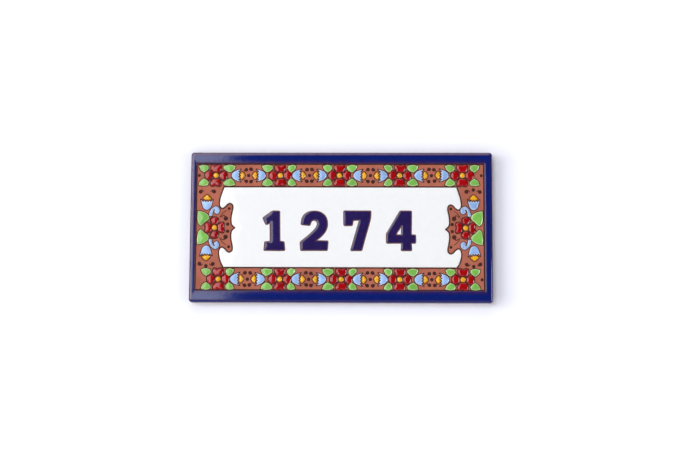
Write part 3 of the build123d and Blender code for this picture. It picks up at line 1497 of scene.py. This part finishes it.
@dataclass
class Ornament:
    """The painted band: rows of flowers above and below the panel, and a column at each end."""

    sizes: TileSizes
    dice: np.random.Generator
    lean: float = 1.5  # typical tilt of a motif, in degrees
    flower_inset: float = 20.4
    top_drift: tuple[float, ...] = (-2.2, 1.1, -0.5, -1.2, 0.1)
    bottom_drift: tuple[float, ...] = (1.3, 1.5, 1.5, -1.2, 0.2)
    bottom_drop: float = 0.4  # of the lower row below the middle of its band
    spread: float = 7.6  # from the middle of a gap to the mouth of each cup beside it
    end_seed: float = 1.45  # radius
    end_seed_inset: float = 2.7  # from the frame to the seed at a row's end
    gap_seed: float = 1.65
    pair_seed: float = 1.75
    pair_place: Point = (2.3, 5.6)  # from the middle of a gap
    pair_drift: Point = (0.2, 0.3)
    pair_tail: tuple[Point, ...] = ((1.5, -0.5), (1.9, -1.9))  # from the dot, out and up
    seed_points: int = 16
    tail_share: float = 0.6  # half the tail's width, in radii of its dot
    tail_half: float = 0.6  # the most that half its width can be
    stem_tip: float = 0.28  # half the width at the end of a tail or stem
    stem_spacing: float = 0.4
    flower: Flower = Flower()
    small_flower: Flower = Flower(notched_reach=9.4, round_reach=10.2, round_half=4.1)
    tulip: Tulip = Tulip()
    tall_tulip: Tulip = Tulip(length=9.3, half=5.6, heart_length=4.8, heart_half=4.1)
    leaf: Leaf = Leaf()
    plan: ColumnPlan = ColumnPlan()
    sets: dict[Ink, PoolSet] = field(default_factory=dict)

    def __post_init__(self) -> None:
        """Set out an empty set of pools for each glaze, with its rise, shoulder, crown and sway."""
        pours = (
            (Ink.PETAL, RED, 0.86, 1.5, 0.4, 0.12),
            (Ink.HEART, YELLOW, 0.90, 2.0, 0.4, 0.08),
            (Ink.LEAF, GREEN, 0.80, 1.4, 0.4, 0.12),
            (Ink.CUP, PALE_BLUE, 0.80, 1.3, 0.35, 0.09),
            (Ink.MOUTH, YELLOW, 0.80, 1.3, 0.35, 0.12),
            (Ink.CURL, PALE_BLUE, 0.80, 1.2, 0.35, 0.12),
            (Ink.SEED, SEED, 0.26, 0.5, 0.1, 0.04),
        )
        for ink, finish, rise, shoulder, crown, sway in pours:
            self.sets[ink] = PoolSet(ink.value, finish, rise, shoulder, crown=crown, sway=sway)

    @property
    def pitch(self) -> float:
        """Distance between the even places of the flowers in a row."""
        span = self.sizes.field_right - self.sizes.field_left - 2 * self.flower_inset
        return span / (len(self.top_drift) - 1)

    @property
    def cup_end(self) -> float:
        """From a flower's even place to the closed end of the next cup."""
        return self.pitch / 2 - self.spread - self.tulip.length

    def put(self, ink: Ink, loop: Loop, place: Placing = Placing()) -> None:
        """Draw one outline of a glaze at a place."""
        self.sets[ink].add([place.apply(loop)], self.dice)

    def put_flower(self, flower: Flower, at: Point, turn: float) -> None:
        """Draw a flower.

        Args:
            flower: The flower, with its notched petals up and down.
            at: Its middle.
            turn: How far it is turned, in degrees.
        """
        turn += self.dice.normal() * self.lean
        for quarter in range(4):
            petal = flower.notched_petal() if quarter % 2 == 0 else flower.round_petal()
            self.put(Ink.PETAL, petal, Placing(at, turn + 90 * quarter))
        self.put(Ink.HEART, flower.centre(), Placing(at))

    def put_tulip(self, tulip: Tulip, at: Point, turn: float) -> None:
        """Draw a tulip.

        Args:
            tulip: The tulip.
            at: The closed end of its cup.
            turn: Where it points, in degrees from the right.
        """
        turn += self.dice.normal() * self.lean
        self.put(Ink.CUP, tulip.cup(), Placing(at, turn))
        self.put(Ink.MOUTH, tulip.mouth(), Placing(at, turn))

    def put_seed(self, seed: Seed) -> None:
        """Draw a dark dot and its tapering tail.

        Args:
            seed: The dot, in its place on the tile.
        """
        self.put(Ink.SEED, circle(seed.radius, self.seed_points), Placing(seed.at))
        if seed.tail:
            self.put_stem([seed.at, *seed.tail], min(seed.radius * self.tail_share, self.tail_half))

    def put_stem(self, points: Sequence[Point], half: float) -> None:
        """Draw a tapering dark line.

        Args:
            points: Points along its middle.
            half: Half its width where it starts.
        """
        line = curve_through(points)
        side = across(np.gradient(line, axis=0))
        width = np.linspace(half, self.stem_tip, len(line))[:, None]
        band = np.vstack([line - width * side, (line + width * side)[::-1]])
        self.put(Ink.SEED, anticlockwise(resampled(band, self.stem_spacing)))

    def row(self, v: float, drifts: Sequence[float], seeded_ends: Sequence[float]) -> None:
        """Draw a row of flowers with their leaves, tulips and seeds.

        Args:
            v: Height of the row's middle.
            drifts: How far each flower stands off its even place.
            seeded_ends: Where the row has a seed beside the frame.
        """
        for u in seeded_ends:
            self.put_seed(Seed((u, v), self.end_seed))
        last = len(drifts) - 1
        for place, drift in enumerate(drifts):
            even = self.sizes.field_left + self.flower_inset + place * self.pitch
            at = (even + drift, v)
            self.put_flower(self.flower, at, 0)
            for side in (1, -1):
                inner = 0 <= place + side <= last
                reach = self.cup_end - (side * drift if inner else 0)
                for up in (1, -1):
                    leaf = anticlockwise(self.leaf.outline(reach) * (side, up))
                    self.put(Ink.LEAF, leaf, Placing(at))
                if inner:
                    cup = (even + side * self.cup_end, v)
                    self.put_tulip(self.tulip, cup, 0 if side > 0 else 180)
            if place < last:
                self.seeds_in_gap(even + self.pitch / 2, v)

    def seeds_in_gap(self, u: float, v: float) -> None:
        """Draw the seeds between two tulips that face each other.

        Args:
            u: Middle of the gap.
            v: Height of the row's middle.
        """
        self.put_seed(Seed((u, v), self.gap_seed))
        (out, rise), (drift_u, drift_v) = self.pair_place, self.pair_drift
        for side in (1, -1):
            for up in (1, -1):
                dot_u = u + out * side + self.dice.normal() * drift_u
                dot_v = v + rise * up + self.dice.normal() * drift_v
                tail = tuple((dot_u + a * side, dot_v + b * up) for a, b in self.pair_tail)
                self.put_seed(Seed((dot_u, dot_v), self.pair_seed, tail))

    def column(self, edge: float, way: int) -> None:
        """Draw the column at one end.

        Args:
            edge: Where the frame ends.
            way: 1 where the panel is to the right, -1 where it is to the left.
        """
        plan, middle = self.plan, self.sizes.column_middle
        self.put_flower(self.small_flower, (edge + way * plan.flower_in, middle), 90)
        for up in (1, -1):
            half = ColumnHalf(edge, middle, way, up)
            self.put(Ink.LEAF, drawn([half.spots(run) for run in plan.leaf], plan.leaf_soft))
            self.put_tulip(self.tall_tulip, half.spot(plan.tulip), 90 * up)
            curl = [half.spots(plan.curl_back), *sharp_runs(half.spots(plan.curl_slit))]
            self.put(Ink.CURL, drawn(curl, plan.curl_soft, plan.curl_spacing))
            crown = (plan.crown,) if half.crowned else ()
            for seed in (*plan.seeds_before_crown, *crown, *plan.seeds_after_crown):
                self.put_seed(Seed(half.spot(seed.at), seed.radius, tuple(half.spots(seed.tail))))
            self.put_stem(half.spots(plan.stem), plan.stem_half)

    def paint(self) -> None:
        """Draw the whole band."""
        s, inset = self.sizes, self.end_seed_inset
        left_seed, right_seed = s.field_left + inset, s.field_right - inset
        self.row(s.field_top - s.band_top / 2, self.top_drift, (left_seed, right_seed))
        bottom = s.field_bottom + s.band_bottom / 2 - self.bottom_drop
        self.row(bottom, self.bottom_drift, (right_seed,))
        self.column(s.field_left, 1)
        self.column(s.field_right, -1)

    def build(self) -> list[bpy.types.Object]:
        """Make one piece of each glaze."""
        return [pools.build(self.sizes, self.dice) for pools in self.sets.values()]

    def outlines(self) -> list[Loop]:
        """Outlines that a dark line follows: all but those of the seeds."""
        sets = [pools for ink, pools in self.sets.items() if ink is not Ink.SEED]
        return [loop for pools in sets for loop in pools.outlines()]


# Panel and number

# Each digit from its lower left: its outline and the holes in it, as runs of points.
DIGITS: dict[str, list[list[list[Point]]]] = {
    "1": [
        sharp_runs([
            (1.4, 0), (20.2, 0), (19.6, 8.0), (15.8, 8.4), (15.4, 36.6), (8.8, 36.6), (0.2, 30.2),
            (3.2, 23.8), (6.8, 25.8), (7.0, 8.4), (2.0, 8.0),
        ]),
    ],
    "2": [
        [
            *sharp_runs([(0.4, 0), (24.6, 0), (25.2, 8.8)]),
            [
                (13.6, 8.9), (18.8, 13.2), (23.2, 18.8), (24.6, 25.2), (23.0, 31.6), (18.4, 35.6),
                (12.4, 36.8), (6.2, 35.4), (2.0, 31.0), (0.6, 24.2),
            ],
            [
                (8.6, 23.4), (9.6, 26.8), (12.2, 28.4), (14.9, 27.0), (15.5, 24.2), (13.4, 20.0),
                (8.2, 14.6), (0, 7.8),
            ],
        ],
    ],
    "4": [
        sharp_runs([
            (13.2, 0), (22.8, 0), (22.3, 7.0), (26.2, 7.0), (26.2, 14.6), (22.3, 14.6), (22.6, 36.8),
            (12.2, 36.8), (0, 15.6), (0, 7.0), (13.6, 7.0),
        ]),
        sharp_runs([(8.4, 14.6), (13.6, 14.6), (13.6, 23.6)]),
    ],
    "7": [
        sharp_runs([
            (0, 36.8), (24.6, 36.8), (24.2, 29.8), (16.4, 0), (6.4, 0), (14.2, 28.2), (8.6, 28.0),
            (7.8, 23.2), (0.2, 23.2),
        ]),
    ],
}


@dataclass
class WhitePanel:
    """The white panel with bracketed ends."""

    sizes: TileSizes
    dice: np.random.Generator
    rise: float = 0.6
    shoulder: float = 1.1
    crown: float = 0.04
    grid: float = 7.0
    sway: float = 0.0
    band_left: float = 22.2
    band_right: float = 21.6
    left_drop: float = 0.7  # of each end's middle below the panel's
    right_drop: float = 1.9
    corner_in: float = 4.1
    half_end: tuple[Point, ...] = (
        (1.2, 30.0), (0.0, 23.4), (0.7, 19.8), (2.6, 18.4), (5.0, 19.8), (7.3, 22.2), (9.8, 23.1),
        (12.2, 21.4), (12.6, 18.0), (11.4, 12.0), (11.0, 7.0), (11.7, 3.0), (14.8, 0.0),
    )  # in from the panel's end, and up from the middle of that end
    soft: float = 0.25
    spacing: float = 0.55

    def outline(self) -> Loop:
        """Draw the panel.

        Returns:
            Its outline, anticlockwise.
        """
        s = self.sizes
        top, bottom = s.field_top - s.band_top, s.field_bottom + s.band_bottom
        left, right = s.field_left + self.band_left, s.field_right - self.band_right
        runs = []
        for end, way, drop in ((left, 1, self.left_drop), (right, -1, self.right_drop)):
            corner, middle = end + way * self.corner_in, (top + bottom) / 2 - drop
            upper = [(end + way * u, middle + v) for u, v in self.half_end]
            lower = [(end + way * u, middle - v) for u, v in reversed(self.half_end)]
            halves = [[(corner, top), *upper], [*lower, (corner, bottom)]]
            runs += halves if way > 0 else [half[::-1] for half in reversed(halves)]
        return drawn(runs, self.soft, self.spacing)

    def poured(self) -> PoolSet:
        """Draw the panel as a pool.

        Returns:
            The pool.
        """
        panel = PoolSet(
            "white_panel",
            WHITE,
            rise=self.rise,
            shoulder=self.shoulder,
            crown=self.crown,
            grid=self.grid,
            sway=self.sway,
        )
        panel.add([self.outline()], self.dice)
        return panel


@dataclass
class Numerals:
    """A plain house number in raised dark glaze."""

    sizes: TileSizes
    dice: np.random.Generator
    number: str = "1274"
    middle: Point = (-1.5, -3.6)
    stretch: float = 1.02
    space: float = 14.5
    height: float = 36.8
    rise: float = 0.32
    shoulder: float = 1.5
    base: float = 0.56  # from the clay to the panel's surface
    crown: float = 0.3
    grid: float = 1.8
    soft: float = 0.6
    spacing: float = 0.5

    def digit(self, sign: str) -> list[Loop]:
        """Draw a digit.

        Args:
            sign: One of the digits of the number.

        Returns:
            Its outline and the holes in it, from its lower left.
        """
        loops = [drawn(runs, self.soft, self.spacing) for runs in DIGITS[sign]]
        return [loop * (self.stretch, 1) for loop in loops]

    def poured(self) -> PoolSet:
        """Draw the number as pools on the panel.

        Returns:
            The pools.
        """
        pools = PoolSet(
            "numerals",
            INDIGO,
            rise=self.rise,
            shoulder=self.shoulder,
            base=self.base,
            crown=self.crown,
            grid=self.grid,
        )
        digits = [self.digit(sign) for sign in self.number]
        widths = [np.ptp(loops[0][:, 0]) for loops in digits]
        u = self.middle[0] - (sum(widths) + self.space * (len(digits) - 1)) / 2
        for loops, width in zip(digits, widths):
            corner = (u - loops[0][:, 0].min(), self.middle[1] - self.height / 2)
            pools.add([loop + corner for loop in loops], self.dice)
            u += width + self.space
        return pools


# Studio


@dataclass(frozen=True)
class Lamp:
    """A soft oblong lamp."""

    name: str
    place: Place
    aim: Place
    size: Point
    power: float  # watts
    glints_only: bool = False

    def hang(self) -> None:
        """Put the lamp into the scene."""
        light = bpy.data.lights.new(self.name, "AREA")
        light.shape = "RECTANGLE"
        light.size, light.size_y = self.size
        light.energy = self.power
        lamp = bpy.data.objects.new(self.name, light)
        lamp.location = self.place
        towards = Vector(self.aim) - Vector(self.place)
        lamp.rotation_euler = towards.to_track_quat("-Z", "Y").to_euler()
        lamp.visible_diffuse = not self.glints_only
        bpy.context.scene.collection.objects.link(lamp)


@dataclass
class Studio:
    """The white wall behind the sign, a pale floor below, soft light and the camera; in metres."""

    wall_gap: float = 0.0004
    floor_level: float = -1.1
    wall_size: float = 3.0
    paint: Rgba = (0.86, 0.865, 0.93, 1)
    wall_glow: Point = (0.0, 0.5)  # glow for the camera, none beside the sign and full away from it: a painted shade round the sign, without a lamp
    floor_glow: Point = (0.55, 0.55)
    shade_shift: float = 0.0095  # of the shade on the wall to the right of the sign
    shade_shrink: Point = (0.0005, 0.009)  # by which half the shade is smaller than half the sign
    shade_reach: float = 0.05  # from there to where the wall is plain white
    daylight: Rgba = (0.8, 0.88, 1.0, 1)
    daylight_strength: float = 0.12
    lamps: tuple[Lamp, ...] = (
        Lamp("near_window", (-1.375, -3.8, 0.9), (-1.375, 0, 0.9), (1.7, 3.4), 67),
        Lamp("far_window", (-5.2, -3.8, 0.9), (-5.2, 0, 0.9), (4.0, 2.4), 233),
        Lamp("ceiling_light", (0, -1.1, 2.2), (0, -1.1, 0), (2.0, 2.6), 23),
        Lamp("low_light", (2.1, -1.1, -0.4), (0, 0, 0), (0.45, 0.6), 12),
        Lamp("glint_light", (2.1, -1.1, -0.4), (0, 0, 0), (0.8, 1.2), 36, glints_only=True),
        Lamp("back_light", (0.5, 1.5, 0.8), (0, 0, 0), (1.0, 1.0), 22),
    )
    aim: Place = (-0.0031, -0.0099, 0.0017)
    distance: float = 1.2436
    azimuth: float = 1.57  # degrees, as the next two
    elevation: float = -7.2
    roll: float = 0.31
    lens: float = 71.81  # millimetres, as the next one
    sensor: float = 36
    sight: float = 20

    def sheet(self, name: str, corners: Sequence[Place], glow: Point) -> bpy.types.Object:
        """Make a flat sheet of the stage.

        Args:
            name: The sheet's name.
            corners: Its four corners.
            glow: Glow that it shows for the camera beside the sign and away from it, without any lamp; a
                lower first value paints shade round the sign.

        Returns:
            The sheet.
        """
        mesh = bpy.data.meshes.new(name)
        mesh.from_pydata(list(corners), [], [(0, 1, 2, 3)])
        mesh.materials.append(self.backdrop_material(f"{name}_paint", glow))
        sheet = bpy.data.objects.new(name, mesh)
        bpy.context.scene.collection.objects.link(sheet)
        return sheet

    def backdrop_material(self, name: str, glow: Point) -> bpy.types.Material:
        """Make white that takes the sign's shadow, with a painted shade round the sign, and that is
        clear from behind.

        Args:
            name: The material's name.
            glow: Glow that it shows for the camera beside the sign and away from it, without any lamp; a
                lower first value paints shade round the sign.

        Returns:
            The material.
        """
        shading = Shading(name)
        nodes, links = shading.nodes, shading.links
        nodes.remove(shading.surface)
        # The glow is least next to a rectangle a little smaller than the sign and moved to its right,
        # and full at the shade's reach: a painted shade round the sign, deepest on its right.
        _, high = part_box(NODE)
        half = (float(high[0]) - self.shade_shrink[0], float(high[2]) - self.shade_shrink[1])
        away = shading.distance_from((self.shade_shift, 0.0), half)
        white = shading.spread(away, (0.0, glow[0]), (self.shade_reach, glow[1]))
        seen = nodes.new("ShaderNodeLightPath").outputs["Is Camera Ray"]
        paint = nodes.new("ShaderNodeBsdfDiffuse")
        paint.inputs["Color"].default_value = self.paint
        shine = nodes.new("ShaderNodeEmission")
        links.new(shading.combined("MULTIPLY", seen, white), shine.inputs["Strength"])
        both = nodes.new("ShaderNodeAddShader")
        links.new(paint.outputs[0], both.inputs[0])
        links.new(shine.outputs[0], both.inputs[1])
        side = nodes.new("ShaderNodeMixShader")
        links.new(nodes.new("ShaderNodeNewGeometry").outputs["Backfacing"], side.inputs["Fac"])
        links.new(both.outputs[0], side.inputs[1])
        links.new(nodes.new("ShaderNodeBsdfTransparent").outputs[0], side.inputs[2])
        links.new(side.outputs[0], nodes["Material Output"].inputs["Surface"])
        return shading.material

    def build_stage(self) -> None:
        """Put up the wall and the floor."""
        half, low, y = self.wall_size, self.floor_level, self.wall_gap
        upright = ((-half, y, low), (half, y, low), (half, y, half), (-half, y, half))
        wall = self.sheet("wall", upright, self.wall_glow)
        wall.visible_diffuse = False
        wall.visible_shadow = False
        level = ((-half, -half, low), (half, -half, low), (half, half, low), (-half, half, low))
        self.sheet("floor", level, self.floor_glow)

    def build_room(self) -> None:
        """Fill the room with faint blue daylight, and show white where nothing stands."""
        world = bpy.data.worlds.new("room")
        world.use_nodes = True
        nodes, links = world.node_tree.nodes, world.node_tree.links
        daylight = nodes["Background"]
        daylight.inputs["Color"].default_value = self.daylight
        daylight.inputs["Strength"].default_value = self.daylight_strength
        white = nodes.new("ShaderNodeBackground")
        white.inputs["Color"].default_value = (1, 1, 1, 1)
        shown = nodes.new("ShaderNodeMixShader")
        links.new(nodes.new("ShaderNodeLightPath").outputs["Is Camera Ray"], shown.inputs["Fac"])
        links.new(daylight.outputs[0], shown.inputs[1])
        links.new(white.outputs[0], shown.inputs[2])
        links.new(shown.outputs[0], nodes["World Output"].inputs["Surface"])
        bpy.context.scene.world = world

    def build_camera(self) -> None:
        """Stand the camera a little below the sign, as in the photograph."""
        lens = bpy.data.cameras.new("camera")
        lens.lens = self.lens
        lens.sensor_width = self.sensor
        lens.clip_end = self.sight
        camera = bpy.data.objects.new("camera", lens)
        rise, turn = math.radians(self.elevation), math.radians(self.azimuth)
        level = math.cos(rise)
        away = Vector((math.sin(turn) * level, -math.cos(turn) * level, math.sin(rise)))
        camera.location = Vector(self.aim) + self.distance * away
        tilt = Quaternion((0, 0, 1), math.radians(self.roll))
        camera.rotation_euler = ((-away).to_track_quat("-Z", "Y") @ tilt).to_euler()
        bpy.context.scene.collection.objects.link(camera)
        bpy.context.scene.camera = camera

    def build(self) -> None:
        """Set up the stage, the light and the camera."""
        self.build_stage()
        for lamp in self.lamps:
            lamp.hang()
        self.build_room()
        self.build_camera()


DICE_START = 7  # first number of the random draws


def main() -> None:
    """Build the sign's pieces in order, then the studio round it."""
    logging.basicConfig(level=logging.INFO, format="%(name)s: %(message)s")
    bpy.context.scene.view_settings.view_transform = "Standard"
    dice = np.random.default_rng(DICE_START)
    sizes = TileSizes.from_solid()
    frame_glaze = FrameGlaze(sizes)
    pieces = [TileBody(sizes).build(), frame_glaze.build(dice)]
    panel = WhitePanel(sizes, dice).poured()
    pieces.append(panel.build(sizes, dice))
    ornament = Ornament(sizes, dice)
    ornament.paint()
    pieces += ornament.build()
    number = Numerals(sizes, dice).poured()
    pieces.append(number.build(sizes, dice))
    border_lines = LineWork("border_lines", LINE, inner=0.3, outer=1.05)
    pieces.append(border_lines.build(sizes, [frame_glaze.edge(), *panel.outlines()]))
    pieces.append(LineWork("dry_lines", LINE).build(sizes, ornament.outlines()))
    number_lines = LineWork("number_lines", NUMBER_LINE, base=number.base, crest=0.12)
    pieces.append(number_lines.build(sizes, number.outlines()))
    for piece in pieces:
        log.info("%s: %d faces", piece.name, len(piece.data.polygons))
    Studio().build()


if __name__ == "__main__":
    main()
